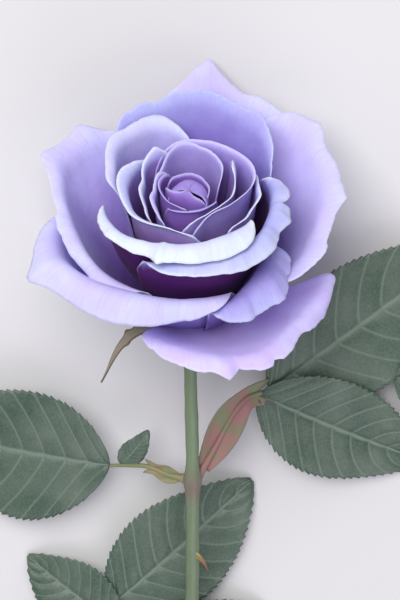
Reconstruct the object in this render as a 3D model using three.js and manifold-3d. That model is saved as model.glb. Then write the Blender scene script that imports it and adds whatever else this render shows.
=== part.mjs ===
// A single garden rose, picked with its stem and laid on its back on a flat surface.
// Every petal, sepal and leaflet is its own thin closed solid, in its own named mesh.
// Units are millimetres. In the finished part +Z is up, the bloom points towards +Y
// and the cut foot of the stem towards -Y.
import * as THREE from 'three';
import { mergeVertices } from 'three/addons/utils/BufferGeometryUtils.js';
import Module from 'manifold-3d';

const wasm = await Module();
wasm.setup();

// ---------------------------------------------------------------- driving dimensions
const PETAL_THICKNESS = 0.7;
const LEAF_THICKNESS = 0.6;
const GAP = 0.32;              // clearance kept between neighbouring pieces
const NOD = 20;                // degrees the bloom leans off the line of the stem
const HIP_HEIGHT = 13;         // from the top of the stem to the base of the petals
const HIP_RADIUS = 5;
const STEM_LENGTH = 230;
const STEM_RADIUS_TOP = 2.2;
const STEM_RADIUS_FOOT = 2.9;
const UPPER_NODE = -56;        // where the two upper leaves leave the stem
const LOWER_NODE = -140;       // where the third leaf leaves the stem
const KNOT_RADIUS = 3.3;       // swelling of the stem at a node
const PRICKLE_RADIUS = 1.7;
const PRICKLE_LENGTH = 6.5;
const STALK_RADIUS = 0.9;
const LEAFLET_ARCH = 2.2;      // how far a leaflet bows up between its foot and its tip

const DEG = Math.PI / 180;

// ---------------------------------------------------------------- petals
// Each petal is a strip of a cup. az is the middle of the petal round the flower
// (0 front, 90 right, 180 back), half its half width, both in degrees. R and H are the
// radius and height of its crest, lip the length that rolls over past the crest and rim
// the slope that the roll ends on. These may change from one side edge to the other.
// start and lean are the slopes at the base and at the crest, r0 and z0 the base point,
// flat moves the centre of the curve, nick adds points or hollows to the edge.
const PETALS = [
  { name: 'petal_centre_1', az: 200, half: 110, R: [3.2, 3, 2.6], H: [46, 47, 46], lean: 92,
    start: 82, lip: 1, rim: 80, r0: 1, z0: 4 },
  { name: 'petal_centre_2', az: 150, half: 100, R: [6, 6, 6.5, 8, 8.4],
    H: [49, 50.5, 51, 51, 50], lean: 91, start: 80, lip: 1.2, rim: 60, r0: 1.6, z0: 3.8 },
  { name: 'petal_centre_3', az: -30, half: 95, R: [9.4, 6.2, 3.6, 4.6, 7.2],
    H: [50, 50, 50, 49.5, 48.5], lean: 93, start: 80, lip: 1.2, rim: 50, r0: 1.8, z0: 3.6 },
  { name: 'petal_centre_4', az: -75, half: 80, R: [11.4, 10.4, 7.6, 5.9, 5.8],
    H: [51, 50, 48.5, 48, 47], lean: 92, start: 79, lip: 1.5, rim: 30, r0: 2.2, z0: 3.4 },
  { name: 'petal_centre_5', az: 10, half: 85, R: [8.7, 7.3, 6.9, 7.4, 8.8],
    H: [46, 47.5, 48, 48, 47], lean: 93, start: 78, lip: 2, rim: 0, r0: 2.6, z0: 3.2 },
  { name: 'petal_inner_back', az: 178, half: 112, R: [16, 17.5, 21.5, 17.5, 16],
    H: [46, 49.5, 51, 50, 46], lean: 82, start: 60, lip: 2.5, rim: 70, flat: -7, r0: 3,
    z0: 3 },
  { name: 'petal_inner_left', az: -92, half: 62, R: [12.9, 11.8, 11, 11.6, 13],
    H: [50, 49.5, 48, 46, 44], lean: 88, start: 70, lip: 2.5, rim: [60, 60, 20, 20, 40],
    r0: 3.2, z0: 3 },
  { name: 'petal_inner_right', az: 60, half: 78, R: [14.5, 10.5, 11, 14.5, 19.5],
    H: [46, 47.5, 48.5, 49.5, 52], lean: 87, start: 68, lip: [2, 2, 2, 2, 3],
    rim: [50, 50, 50, 50, 0], r0: 3.4, z0: 3 },
  { name: 'petal_inner_pointed', az: -110, half: 62, R: [20.5, 20.5, 15.5, 14.5, 14.5],
    H: [50, 49, 47.5, 46, 43], lean: 86, start: 60, lip: 3, rim: 40, r0: 3.8, z0: 2.5,
    nick: [[-0.65, 2, 0.1]] },
  { name: 'petal_inner_arch', az: 108, half: 112,
    R: [15.5, 11.5, 14.5, 21.5, 22.5, 23, 18.5], H: [46, 48, 49, 50, 51, 51.5, 50],
    lean: 86, start: 56, lip: 2.5, rim: 50, r0: 4, z0: 2.5 },
  { name: 'petal_inner_front', az: -66, half: 84, R: [23.5, 20.5, 18.5, 15.5, 18.5],
    H: [49, 47, 46.5, 46.5, 46], lean: 86, start: 54, lip: [4, 6, 4, 2.5, 2],
    rim: [40, 10, 10, 30, 40], r0: 4.2, z0: 2.5 },
  { name: 'petal_inner_far_right', az: 80, half: 45, R: [19, 21, 23.6], H: [46, 48, 48],
    lean: 86, start: 50, lip: 2.5, rim: 40, r0: 4.4, z0: 2.2 },
  { name: 'petal_upper_front_lip', az: -18, half: 77, R: [28, 26, 23, 22, 22.5],
    H: [43, 44.5, 45.5, 46, 47], lean: 87, start: 45, lip: [5, 10, 13, 13, 8],
    rim: [-20, -45, -55, -50, -30], r0: 4.6, z0: 2.2,
    nick: [[-0.12, 3, 0.08], [-0.46, -2.5, 0.09]] },
  { name: 'petal_lower_front_lip', az: 38, half: 80, R: [26, 25, 26, 26, 26],
    H: [38, 41, 42.5, 45, 47], lean: 84, start: 38, lip: [4, 9, 12, 10.5, 6],
    rim: [-10, -40, -50, -40, 0], r0: 5, z0: 2, nick: [[0.62, -3, 0.05], [0.34, -2, 0.1]] },
  { name: 'petal_left_shoulder', az: -140, half: 44, R: [27, 34, 33.5, 27.5, 22],
    H: [47, 49, 49, 47.5, 44], lean: 74, start: 42, lip: 6, rim: [20, 15, 15, 5, 10],
    r0: 4.8, z0: 2 },
  { name: 'petal_back_broad', az: 172, half: 56, R: [30, 36.5, 40.5, 39.5, 35],
    H: [43, 49.5, 52.8, 51.3, 47], lean: [75, 66, 62, 62, 66], start: 30, lip: 6, rim: 35,
    r0: 5.2, z0: 1.8, nick: [[-0.1, 1.5, 0.05]] },
  { name: 'petal_outer_left', az: -92, half: 64, R: [47.5, 48, 37.5, 32, 26],
    H: [38, 36.5, 34.5, 29.5, 26.5], lean: [60, 60, 65, 72, 75], start: 22,
    lip: [9, 8, 6, 6, 4], rim: [10, 10, -10, -40, -20], r0: 5.6, z0: 1.6,
    nick: [[-0.72, 3.5, 0.13], [-0.42, 2, 0.08]] },
  { name: 'petal_front_rolled', az: -40, half: 80, R: [43.5, 40.5, 30, 25.5, 25.5],
    H: [27, 27, 26.5, 26, 26.5], lean: [50, 60, 70, 70, 70], start: 10,
    lip: [6, 13, 19, 14, 1], rim: [-20, -45, -65, -65, -20], r0: 5.8, z0: 1.5, belly: 0.55,
    nick: [[-0.42, 5, 0.07]] },
  { name: 'petal_front_hanging', az: 48, half: 36, R: [28, 27, 25.5, 24.5, 24],
    H: [22, 24, 26.5, 28, 29], lean: 75, start: 14, lip: [7, 14, 19, 16, 7],
    rim: [-60, -60, -56, -50, -40], r0: 6, z0: 1.4, belly: 0.5 },
  { name: 'petal_outer_right', az: 104, half: 50, R: [29, 35, 43, 49.5, 48],
    H: [23, 27, 34, 41, 44], lean: 50, start: 16, lip: 9, rim: [0, 0, 5, 15, 30], r0: 6.2,
    z0: 1.3, nick: [[0.57, 2, 0.1], [-0.03, 2.5, 0.06]] },
  { name: 'petal_outer_back', az: 176, half: 44, R: [51, 49.5, 51.5, 44, 38],
    H: [40, 42, 44.5, 39, 33], lean: 58, start: 14, lip: 9, rim: 30, r0: 6.4, z0: 1.2,
    nick: [[-0.05, 9, 0.14]] },
  { name: 'petal_under_left', az: -152, half: 40, R: [44, 48, 46], H: [24, 25, 24],
    lean: 40, start: 6, lip: 8, rim: -5, r0: 6.6, z0: 1.1 },
  { name: 'petal_drooping', az: 32, half: 62, R: [28, 32, 38, 37.8, 43.5],
    H: [12, 11, 10, 10.5, 11.5], lean: 25, start: 5, lip: 8, rim: -40, r0: 6.8, z0: 1,
    nick: [[-0.25, 3.5, 0.1], [0.9, 3, 0.1]] },
];

// ---------------------------------------------------------------- small maths
const smooth = (t) => {
  const x = Math.min(Math.max(t, 0), 1);
  return x * x * (3 - 2 * x);
};

// a value that is one number, or changes smoothly from u = -1 to u = 1
function across(values, u) {
  if (!Array.isArray(values)) return values;
  const n = values.length - 1;
  if (n === 2) {
    const [left, middle, right] = values;
    return middle + ((right - left) / 2) * u + ((left + right) / 2 - middle) * u * u;
  }
  const x = ((u + 1) / 2) * n;
  const i = Math.min(Math.floor(x), n - 1);
  const f = x - i;
  const b = values[i];
  const c = values[i + 1];
  const a = i > 0 ? values[i - 1] : 2 * b - c;
  const d = i + 2 <= n ? values[i + 2] : 2 * c - b;
  return b + 0.5 * f * (c - a + f * (2 * a - 5 * b + 4 * c - d + f * (3 * (b - c) + d - a)));
}

// the profile of a petal at u, from its base to its rim, as [radius, height, length]
function petalProfile(petal, u) {
  const R = across(petal.R, u);
  const H = across(petal.H, u);
  const lean = across(petal.lean, u) * DEG;
  const rim = across(petal.rim, u) * DEG;
  const start = petal.start * DEG;
  const chord = Math.hypot(R - petal.r0, H - petal.z0);
  const p1 = [petal.r0 + (petal.belly ?? 0.4) * chord * Math.cos(start),
    petal.z0 + (petal.belly ?? 0.4) * chord * Math.sin(start)];
  const p2 = [R - 0.4 * chord * Math.cos(lean), H - 0.4 * chord * Math.sin(lean)];
  const points = [];
  for (let k = 0; k <= 60; k += 1) {
    const t = k / 60;
    const w = [(1 - t) ** 3, 3 * (1 - t) ** 2 * t, 3 * (1 - t) * t * t, t ** 3];
    points.push([w[0] * petal.r0 + w[1] * p1[0] + w[2] * p2[0] + w[3] * R,
      w[0] * petal.z0 + w[1] * p1[1] + w[2] * p2[1] + w[3] * H, 0]);
  }
  let lip = across(petal.lip, u);
  for (const [at, height, width] of petal.nick ?? []) {
    lip += height * Math.exp(-(((u - at) / width) ** 2));
  }
  lip = Math.max(lip, 0.3);
  let [r, z] = [R, H];
  for (let k = 0; k < 40; k += 1) {
    const slope = lean + (rim - lean) * smooth((k + 0.5) / 40 / 0.85);
    r += (Math.cos(slope) * lip) / 40;
    z += (Math.sin(slope) * lip) / 40;
    points.push([r, z, 0]);
  }
  for (let k = 1; k < points.length; k += 1) {
    const step = Math.hypot(points[k][0] - points[k - 1][0], points[k][1] - points[k - 1][1]);
    points[k][2] = points[k - 1][2] + step;
  }
  return { points, crest: points[60][2] };
}

// the middle surface of a petal, as rows of points from one side edge to the other
function petalRows(petal, nu, nWall, nLip) {
  const rows = [];
  for (let i = 0; i <= nu; i += 1) {
    const u = -1 + (2 * i) / nu;
    const { points, crest } = petalProfile(petal, u);
    const full = points[points.length - 1][2];
    const length = full * (1 - 0.15 * Math.abs(u) ** 8);
    const wallEnd = Math.min(crest, length * 0.96);
    const row = [];
    for (let j = 0; j <= nWall + nLip; j += 1) {
      const s = j <= nWall
        ? (wallEnd * j) / nWall
        : wallEnd + ((length - wallEnd) * (j - nWall)) / nLip;
      let k = 1;
      while (k < points.length - 1 && points[k][2] < s) k += 1;
      const [p, q] = [points[k - 1], points[k]];
      const f = (s - p[2]) / Math.max(q[2] - p[2], 1e-9);
      const r = p[0] + (q[0] - p[0]) * f;
      const z = p[1] + (q[1] - p[1]) * f;
      const widen = 0.16 + 0.84 * Math.sin((Math.PI / 2) * Math.min(s / length / 0.5, 1));
      const psi = (petal.az + petal.half * u * widen) * DEG;
      const flat = petal.flat ?? 0;
      row.push(new THREE.Vector3(
        -flat * Math.sin(petal.az * DEG) + (r + flat) * Math.sin(psi),
        flat * Math.cos(petal.az * DEG) - (r + flat) * Math.cos(psi),
        z,
      ));
    }
    rows.push(row);
  }
  return rows;
}

// ---------------------------------------------------------------- closed solids
// a closed sheet of even thickness about rows of points; grow widens it on every side
function sheet(rows, thickness, grow = 0) {
  const grid = rows.map((row) => row.map((p) => p.clone()));
  const nu = grid.length;
  const nv = grid[0].length;
  if (grow > 0) {
    for (let i = 0; i < nu; i += 1) {
      const start = grid[i][0].clone().sub(grid[i][1]).setLength(grow);
      const end = grid[i][nv - 1].clone().sub(grid[i][nv - 2]).setLength(grow);
      grid[i][0].add(start);
      grid[i][nv - 1].add(end);
    }
    for (let j = 0; j < nv; j += 1) {
      const left = grid[0][j].clone().sub(grid[1][j]).setLength(grow);
      const right = grid[nu - 1][j].clone().sub(grid[nu - 2][j]).setLength(grow);
      grid[0][j].add(left);
      grid[nu - 1][j].add(right);
    }
  }
  const half = thickness / 2 + grow;
  const positions = [];
  for (const side of [1, -1]) {
    for (let i = 0; i < nu; i += 1) {
      for (let j = 0; j < nv; j += 1) {
        const du = grid[Math.min(i + 1, nu - 1)][j].clone().sub(grid[Math.max(i - 1, 0)][j]);
        const dv = grid[i][Math.min(j + 1, nv - 1)].clone().sub(grid[i][Math.max(j - 1, 0)]);
        const normal = du.cross(dv).normalize();
        const p = grid[i][j].clone().addScaledVector(normal, side * half);
        positions.push(p.x, p.y, p.z);
      }
    }
  }
  const at = (side, i, j) => side * nu * nv + i * nv + j;
  const faces = [];
  for (let i = 0; i < nu - 1; i += 1) {
    for (let j = 0; j < nv - 1; j += 1) {
      faces.push([at(0, i, j), at(0, i + 1, j), at(0, i + 1, j + 1), at(0, i, j + 1)]);
      faces.push([at(1, i, j), at(1, i, j + 1), at(1, i + 1, j + 1), at(1, i + 1, j)]);
    }
  }
  for (let i = 0; i < nu - 1; i += 1) {
    faces.push([at(0, i + 1, 0), at(0, i, 0), at(1, i, 0), at(1, i + 1, 0)]);
    faces.push([at(0, i, nv - 1), at(0, i + 1, nv - 1), at(1, i + 1, nv - 1), at(1, i, nv - 1)]);
  }
  for (let j = 0; j < nv - 1; j += 1) {
    faces.push([at(0, 0, j), at(0, 0, j + 1), at(1, 0, j + 1), at(1, 0, j)]);
    faces.push([at(0, nu - 1, j + 1), at(0, nu - 1, j), at(1, nu - 1, j), at(1, nu - 1, j + 1)]);
  }
  const index = [];
  for (const [a, b, c, d] of faces) index.push(a, b, c, a, c, d);
  const geometry = new THREE.BufferGeometry();
  geometry.setAttribute('position', new THREE.Float32BufferAttribute(positions, 3));
  geometry.setIndex(index);
  return geometry;
}

// a closed tube along a smooth curve, its radius changing from first to last
function tube(points, radii, steps, sides) {
  const curve = new THREE.CatmullRomCurve3(points, false, 'centripetal');
  const frames = curve.computeFrenetFrames(steps, false);
  const positions = [];
  for (let k = 0; k <= steps; k += 1) {
    const centre = curve.getPointAt(k / steps);
    const radius = across(radii, (2 * k) / steps - 1);
    for (let m = 0; m < sides; m += 1) {
      const angle = (2 * Math.PI * m) / sides;
      const p = centre.clone()
        .addScaledVector(frames.normals[k], radius * Math.cos(angle))
        .addScaledVector(frames.binormals[k], radius * Math.sin(angle));
      positions.push(p.x, p.y, p.z);
    }
  }
  const index = [];
  for (let k = 0; k < steps; k += 1) {
    for (let m = 0; m < sides; m += 1) {
      const n = (m + 1) % sides;
      const [a, b, c, d] = [k * sides + m, k * sides + n, (k + 1) * sides + n, (k + 1) * sides + m];
      index.push(a, b, c, a, c, d);
    }
  }
  for (let m = 1; m < sides - 1; m += 1) {
    index.push(0, m + 1, m);
    const last = steps * sides;
    index.push(last, last + m, last + m + 1);
  }
  const geometry = new THREE.BufferGeometry();
  geometry.setAttribute('position', new THREE.Float32BufferAttribute(positions, 3));
  geometry.setIndex(index);
  return geometry;
}

function toSolid(geometry) {
  const bare = geometry.clone();
  bare.deleteAttribute('normal');
  bare.deleteAttribute('uv');
  const merged = mergeVertices(bare, 1e-5);
  const triVerts = new Uint32Array(merged.index.array);
  const vertProperties = new Float32Array(merged.attributes.position.array);
  let volume = 0;
  for (let k = 0; k < triVerts.length; k += 3) {
    const [a, b, c] = [0, 1, 2].map((m) => new THREE.Vector3()
      .fromArray(vertProperties, triVerts[k + m] * 3));
    volume += a.dot(b.cross(c));
  }
  if (volume < 0) {
    for (let k = 0; k < triVerts.length; k += 3) {
      [triVerts[k + 1], triVerts[k + 2]] = [triVerts[k + 2], triVerts[k + 1]];
    }
  }
  return new wasm.Manifold(new wasm.Mesh({ numProp: 3, vertProperties, triVerts }));
}

function toGeometry(solid) {
  const mesh = solid.getMesh();
  const geometry = new THREE.BufferGeometry();
  geometry.setAttribute('position', new THREE.Float32BufferAttribute(mesh.vertProperties, 3));
  geometry.setIndex(Array.from(mesh.triVerts));
  geometry.computeVertexNormals();
  return geometry;
}

function largest(solid) {
  let best = null;
  for (const body of solid.decompose()) {
    if (best === null || body.volume() > best.volume()) best = body;
  }
  return best;
}

// ---------------------------------------------------------------- colours
const paint = (color, roughness) => new THREE.MeshStandardMaterial({
  color, roughness, metalness: 0, side: THREE.FrontSide,
});
const LILAC = paint('#c4c2f6', 0.55);
const DEEP_LILAC = paint('#9d94da', 0.55);
const STEM_GREEN = paint('#6f8260', 0.5);
const LEAF_GREEN = paint('#56695b', 0.5);
const SEPAL_GREEN = paint('#7f8068', 0.6);

const rose = new THREE.Group();
const bloom = new THREE.Group();
bloom.rotation.x = NOD * DEG;
bloom.position.set(0, -HIP_HEIGHT * Math.sin(NOD * DEG), HIP_HEIGHT * Math.cos(NOD * DEG));
rose.add(bloom);

function addMesh(group, name, geometry, material) {
  const mesh = new THREE.Mesh(geometry, material);
  mesh.name = name;
  group.add(mesh);
  return mesh;
}

// ---------------------------------------------------------------- hip and petals
// The hip is the swelling that the petals and sepals grow from. Its top is a low dome.
const hipOutline = [[0, -HIP_HEIGHT + 0.4], [2.5, -HIP_HEIGHT + 0.4], [3.6, -10.5],
  [HIP_RADIUS, -7], [HIP_RADIUS - 0.2, -3.6], [4.5, -2.2], [6.4, -1.2], [7, -0.4],
  [5, 0.9], [3, 1.9], [1.2, 2.5], [0, 2.6]];
const hip = new THREE.LatheGeometry(hipOutline.map(([x, y]) => new THREE.Vector2(x, y)), 14);
hip.rotateX(Math.PI / 2);
addMesh(bloom, 'hip', toGeometry(toSolid(hip)), STEM_GREEN);

// From the centre outwards, each petal gives way to those inside it, with a small gap.
const kept = [];
for (const petal of PETALS) {
  const small = petal.r0 < 4.5;
  const rolled = Math.max(...[petal.lip].flat()) > 8;
  const rows = petalRows(petal, small ? 8 : 9, small ? 4 : 5, small ? 1 : rolled ? 3 : 2);
  let solid = toSolid(sheet(rows, PETAL_THICKNESS));
  for (const inner of kept) solid = solid.subtract(inner);
  kept.push(toSolid(sheet(rows, PETAL_THICKNESS, GAP)));
  const material = petal.name.includes('centre') ? DEEP_LILAC : LILAC;
  addMesh(bloom, petal.name, toGeometry(largest(solid)), material);
}

// ---------------------------------------------------------------- sepals
// Five narrow sepals spread under the petals and bend back towards the stem, each as
// [direction round the flower, slope at its tip, length].
const SEPALS = [[-60, -60, 38], [18, -14, 26], [88, -35, 34], [158, -62, 35], [-128, -40, 37]];
const SEPAL_WIDTH = 7.5;
for (const [k, [direction, bendTo, length]] of SEPALS.entries()) {
  const azimuth = direction * DEG;
  const rows = [];
  for (let i = 0; i <= 4; i += 1) {
    const u = -1 + i / 2;
    let [r, z] = [5.2, -2.6];
    const row = [];
    for (let j = 0; j <= 8; j += 1) {
      const v = j / 8;
      const width = SEPAL_WIDTH * (0.07 + 0.93 * (1 - v) ** 1.2) * (0.75 + 0.25 * smooth(v * 5));
      const side = (u * width) / 2;
      row.push(new THREE.Vector3(
        r * Math.sin(azimuth) + side * Math.cos(azimuth),
        -r * Math.cos(azimuth) + side * Math.sin(azimuth),
        z + 0.12 * Math.abs(side),
      ));
      const slope = (12 + (bendTo - 12) * smooth(v * 1.15)) * DEG;
      r += (Math.cos(slope) * length) / 8;
      z += (Math.sin(slope) * length) / 8;
    }
    rows.push(row);
  }
  addMesh(bloom, `sepal_${k + 1}`, toGeometry(toSolid(sheet(rows, LEAF_THICKNESS))), SEPAL_GREEN);
}

// ---------------------------------------------------------------- how it lies
// The rose lies on its outermost back petals and on the foot of its stem. tilt is the
// slope of the surface under it, measured in the frame of the stem.
bloom.updateMatrixWorld(true);
let slope = 0;
for (const mesh of bloom.children) {
  const points = mesh.geometry.attributes.position;
  for (let k = 0; k < points.count; k += 1) {
    const p = new THREE.Vector3().fromBufferAttribute(points, k).applyMatrix4(mesh.matrixWorld);
    slope = Math.max(slope, (p.y - STEM_RADIUS_FOOT) / (p.z + STEM_LENGTH));
  }
}
const tilt = Math.atan(slope);
const floorAt = (z) => STEM_RADIUS_FOOT + slope * (z + STEM_LENGTH);
// a point of a leaf: sideways, along the stem, and height over the surface it lies on
const over = (x, z, height) => new THREE.Vector3(x, floorAt(z) - height, z);

// ---------------------------------------------------------------- stem
const neck = new THREE.Vector3(0, 0, 0);
const bend = new THREE.Vector3(0, 1.2, -7);
const stemPoints = [neck, bend, new THREE.Vector3(0, 1.4, -20), new THREE.Vector3(0.6, 1, -50),
  new THREE.Vector3(0.4, 0.4, -100), new THREE.Vector3(-0.6, 0, -160),
  new THREE.Vector3(0, 0, -STEM_LENGTH)];
const stemRadii = [STEM_RADIUS_TOP, STEM_RADIUS_TOP, 2.4, 2.6, STEM_RADIUS_FOOT];
let stem = toSolid(tube(stemPoints, stemRadii, 18, 10));

// the swelling where leaves grow, centred on the bowed stem
function knotSolid(node, grow = 0) {
  const knot = new THREE.SphereGeometry(KNOT_RADIUS + grow, 8, 6);
  knot.scale(1, 1, 1.5);
  knot.translate(0, node === UPPER_NODE ? 0.9 : 0.3, node - 1);
  return toSolid(knot);
}
for (const node of [UPPER_NODE, LOWER_NODE]) stem = stem.add(knotSolid(node));

// A few prickles on the lower stem, hooked towards the foot, each as [place along the
// stem, direction round it]. The base of each cone is sunk in the stem.
for (const [z, around] of [[-88, 60], [-158, -70], [-182, 150], [-206, 20]]) {
  const prickle = new THREE.ConeGeometry(PRICKLE_RADIUS, PRICKLE_LENGTH, 5);
  prickle.translate(0, PRICKLE_LENGTH * 0.4, 0);
  prickle.rotateX(Math.PI + 0.35);
  prickle.translate(0, -1.6, 0);
  prickle.rotateZ(around * DEG);
  prickle.translate(0, 0.3, z);
  stem = stem.add(toSolid(prickle));
}
addMesh(rose, 'stem', toGeometry(largest(stem)), STEM_GREEN);

// ---------------------------------------------------------------- leaves
// Each leaf has a stalk with winged stipules at its foot, one to three side leaflets and
// one at the end. stalk gives the stalk's points as [sideways, along, height] and wing the
// width over both stipules. leaflets are [name, where on the stalk, tip, width], and they
// droop to the surface.
const LEAVES = [
  { name: 'leaf_right', node: UPPER_NODE, wing: 12,
    stalk: [[2, -57, 21], [8, -47, 20], [17, -32, 17], [26, -28, 14], [50, -25, 11],
      [72, -25, 9]],
    leaflets: [['end', 1, [131, -31, 0.5], 42], ['side_1', 0.48, [99, 22, 0.6], 46],
      ['side_2', 0.43, [84, -60, 0.5], 38]] },
  { name: 'leaf_left', node: UPPER_NODE, wing: 6.5,
    stalk: [[-2, -57, 21], [-8, -56, 20], [-15, -54, 18], [-22, -55, 15], [-29, -56.5, 12]],
    leaflets: [['end', 1, [-99, -48, 0.5], 50], ['side_1', 0.86, [-15, -42, 15], 9]] },
  { name: 'leaf_lower', node: LOWER_NODE, wing: 6,
    stalk: [[-1.5, -141, 9], [-9, -139, 8], [-20, -131, 7], [-27, -121, 6], [-29, -114, 5.5]],
    leaflets: [['end', 1, [22, -67, 1.6], 40], ['side_1', 0.5, [-66, -133, 0.5], 28],
      ['side_2', 0.8, [-60, -97, 0.5], 27], ['side_3', 0.5, [28, -117, 1], 26]] },
];

// the middle surface of a leaflet: a pointed oval, bowed up and folded along its midrib
function leafletRows(from, to, width, n, m) {
  const rows = [];
  const along = to.clone().sub(from);
  const sideways = new THREE.Vector3(along.z, 0, -along.x).normalize();
  for (let i = 0; i <= n; i += 1) {
    const u = -1 + (2 * i) / n;
    const row = [];
    for (let j = 0; j <= m; j += 1) {
      const v = j / m;
      const w = (width / 2) * (0.05 + 0.95 * Math.sin(Math.PI * Math.min(v ** 0.82, 1)) ** 0.8);
      const p = from.clone().addScaledVector(along, v);
      p.addScaledVector(sideways, u * w);
      const rise = LEAFLET_ARCH * 4 * v * (1 - v) + 0.1 * Math.abs(u) * w;
      p.y = Math.min(p.y - rise, floorAt(p.z) - LEAF_THICKNESS / 2 - 0.1);
      row.push(p);
    }
    rows.push(row);
  }
  return rows;
}

for (const leaf of LEAVES) {
  const points = leaf.stalk.map(([x, z, h]) => over(x, z, h));
  const path = new THREE.CatmullRomCurve3(points, false, 'centripetal');
  const radii = [STALK_RADIUS * 1.25, STALK_RADIUS, STALK_RADIUS * 0.7];
  let stalk = toSolid(tube(points, radii, 8, 5));
  // the stipules: one thin wing either side of the foot of the stalk
  const wings = [];
  for (let i = 0; i <= 4; i += 1) {
    const u = -1 + i / 2;
    const row = [];
    for (let j = 0; j <= 5; j += 1) {
      const p = path.getPointAt(0.06 + 0.066 * j);
      const t = path.getTangentAt(0.06 + 0.066 * j);
      const out = new THREE.Vector3(t.z, 0, -t.x).normalize();
      const w = leaf.wing * (0.45 + 0.55 * Math.sin((Math.PI * (j + 1)) / 6.5)) * 0.5;
      row.push(p.clone().addScaledVector(out, u * w).add(new THREE.Vector3(0, -0.25 * w * u * u, 0)));
    }
    wings.push(row);
  }
  stalk = stalk.add(toSolid(sheet(wings, 0.7)));
  // the stalk gives way to the stem and to its knot
  const nearStem = knotSolid(leaf.node, GAP)
    .add(toSolid(tube(stemPoints, stemRadii.map((r) => r + GAP), 18, 10)));
  stalk = largest(stalk.subtract(nearStem));
  addMesh(rose, `${leaf.name}_stalk`, toGeometry(stalk), LEAF_GREEN);
  // and each leaflet to the stem, to the stalk and to the leaflets before it
  let taken = nearStem.add(toSolid(tube(points, radii.map((r) => r + GAP), 8, 5)));
  for (const [name, where, tip, width] of leaf.leaflets) {
    const foot = path.getPointAt(where);
    const end = over(...tip);
    const away = end.clone().sub(foot).normalize();
    const from = foot.clone().addScaledVector(away, where === 1 ? 0.5 : 1.5);
    const rows = leafletRows(from, end, width, 4, 7);
    const solid = toSolid(sheet(rows, LEAF_THICKNESS)).subtract(taken);
    taken = taken.add(toSolid(sheet(rows, LEAF_THICKNESS, GAP)));
    addMesh(rose, `${leaf.name}_${name}`, toGeometry(largest(solid)), LEAF_GREEN);
  }
}

// ---------------------------------------------------------------- laid down
// The whole rose is turned onto its back, centred over the origin and set on z = 0.
rose.rotation.x = -(Math.PI / 2 - tilt);
rose.updateMatrixWorld(true);
const box = new THREE.Box3().setFromObject(rose, true);
const part = new THREE.Group();
part.add(rose);
rose.position.x -= (box.min.x + box.max.x) / 2;
rose.position.y -= (box.min.y + box.max.y) / 2;
rose.position.z -= box.min.z;

export default part;
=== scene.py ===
import math

import bmesh
import bpy
from mathutils import Matrix, Vector, noise


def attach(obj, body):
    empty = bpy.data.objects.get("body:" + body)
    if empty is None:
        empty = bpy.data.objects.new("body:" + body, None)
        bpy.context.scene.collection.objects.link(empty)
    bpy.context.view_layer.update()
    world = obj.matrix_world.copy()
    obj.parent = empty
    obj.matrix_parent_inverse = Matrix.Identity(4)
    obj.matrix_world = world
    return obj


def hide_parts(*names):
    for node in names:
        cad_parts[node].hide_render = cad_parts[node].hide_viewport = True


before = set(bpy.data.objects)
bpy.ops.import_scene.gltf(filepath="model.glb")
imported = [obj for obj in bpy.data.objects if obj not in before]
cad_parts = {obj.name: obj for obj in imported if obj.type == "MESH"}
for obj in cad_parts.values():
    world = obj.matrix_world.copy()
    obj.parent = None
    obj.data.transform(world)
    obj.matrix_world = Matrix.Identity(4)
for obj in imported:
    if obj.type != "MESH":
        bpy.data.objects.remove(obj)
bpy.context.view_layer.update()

# ---- How the rose lies, and the view of it
# The rose was cut and laid down on its back. The bloom nods forward off the stem, so it
# still looks up. Lengths below are millimetres until a mesh is finished.
MM = 0.001
STEM_TURN = math.radians(-83.189)
STEM_AT = Vector((-15.975, 69.609, 30.156))
NOD = math.radians(20)
HIP_HEIGHT = 13.0
stem_place = Matrix.Translation(STEM_AT) @ Matrix.Rotation(STEM_TURN, 4, "X")
bloom_place = (
    stem_place
    @ Matrix.Translation((0, -HIP_HEIGHT * math.sin(NOD), HIP_HEIGHT * math.cos(NOD)))
    @ Matrix.Rotation(NOD, 4, "X")
)

# The camera looks into the bloom, VIEW_ANGLE above the plane of its mouth. The picture
# is VIEW_SPAN high there, and aims VIEW_DROP below a point in the heart.
VIEW_ANGLE = math.radians(43)
VIEW_DISTANCE = 700.0
VIEW_SPAN = 195.44
VIEW_DROP = 27.036
HEART = Vector((3.257, 0, 40))
FILM_HEIGHT = 36.0
look_from = Vector((0, -math.cos(VIEW_ANGLE), math.sin(VIEW_ANGLE)))
look_up = Vector((0, math.sin(VIEW_ANGLE), math.cos(VIEW_ANGLE)))
aim = HEART - look_up * VIEW_DROP
turn = bloom_place.to_3x3()
camera_data = bpy.data.cameras.new("camera")
camera_data.lens = FILM_HEIGHT * VIEW_DISTANCE / VIEW_SPAN
camera_data.clip_start = 0.01
camera = bpy.data.objects.new("camera", camera_data)
camera_turn = Matrix((turn @ Vector((1, 0, 0)), turn @ look_up, turn @ look_from)).transposed()
camera.matrix_world = (
    Matrix.Translation((bloom_place @ (aim + look_from * VIEW_DISTANCE)) * MM)
    @ camera_turn.to_4x4()
)
bpy.context.scene.collection.objects.link(camera)
bpy.context.scene.camera = camera
# colours show as they are, because the softer default greys the lilac
bpy.context.scene.view_settings.view_transform = "Standard"


# ---- The table it lies on, and the light
# A plain pale matt surface, a broad soft light from beyond the head of the flower, a
# weak one from the side and pale light all round.
def linear(hex_colour):
    """An sRGB hex colour as linear red, green, blue and alpha."""
    channels = []
    for k in (1, 3, 5):
        c = int(hex_colour[k : k + 2], 16) / 255
        channels.append(c / 12.92 if c <= 0.04045 else ((c + 0.055) / 1.055) ** 2.4)
    return (*channels, 1.0)


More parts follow.
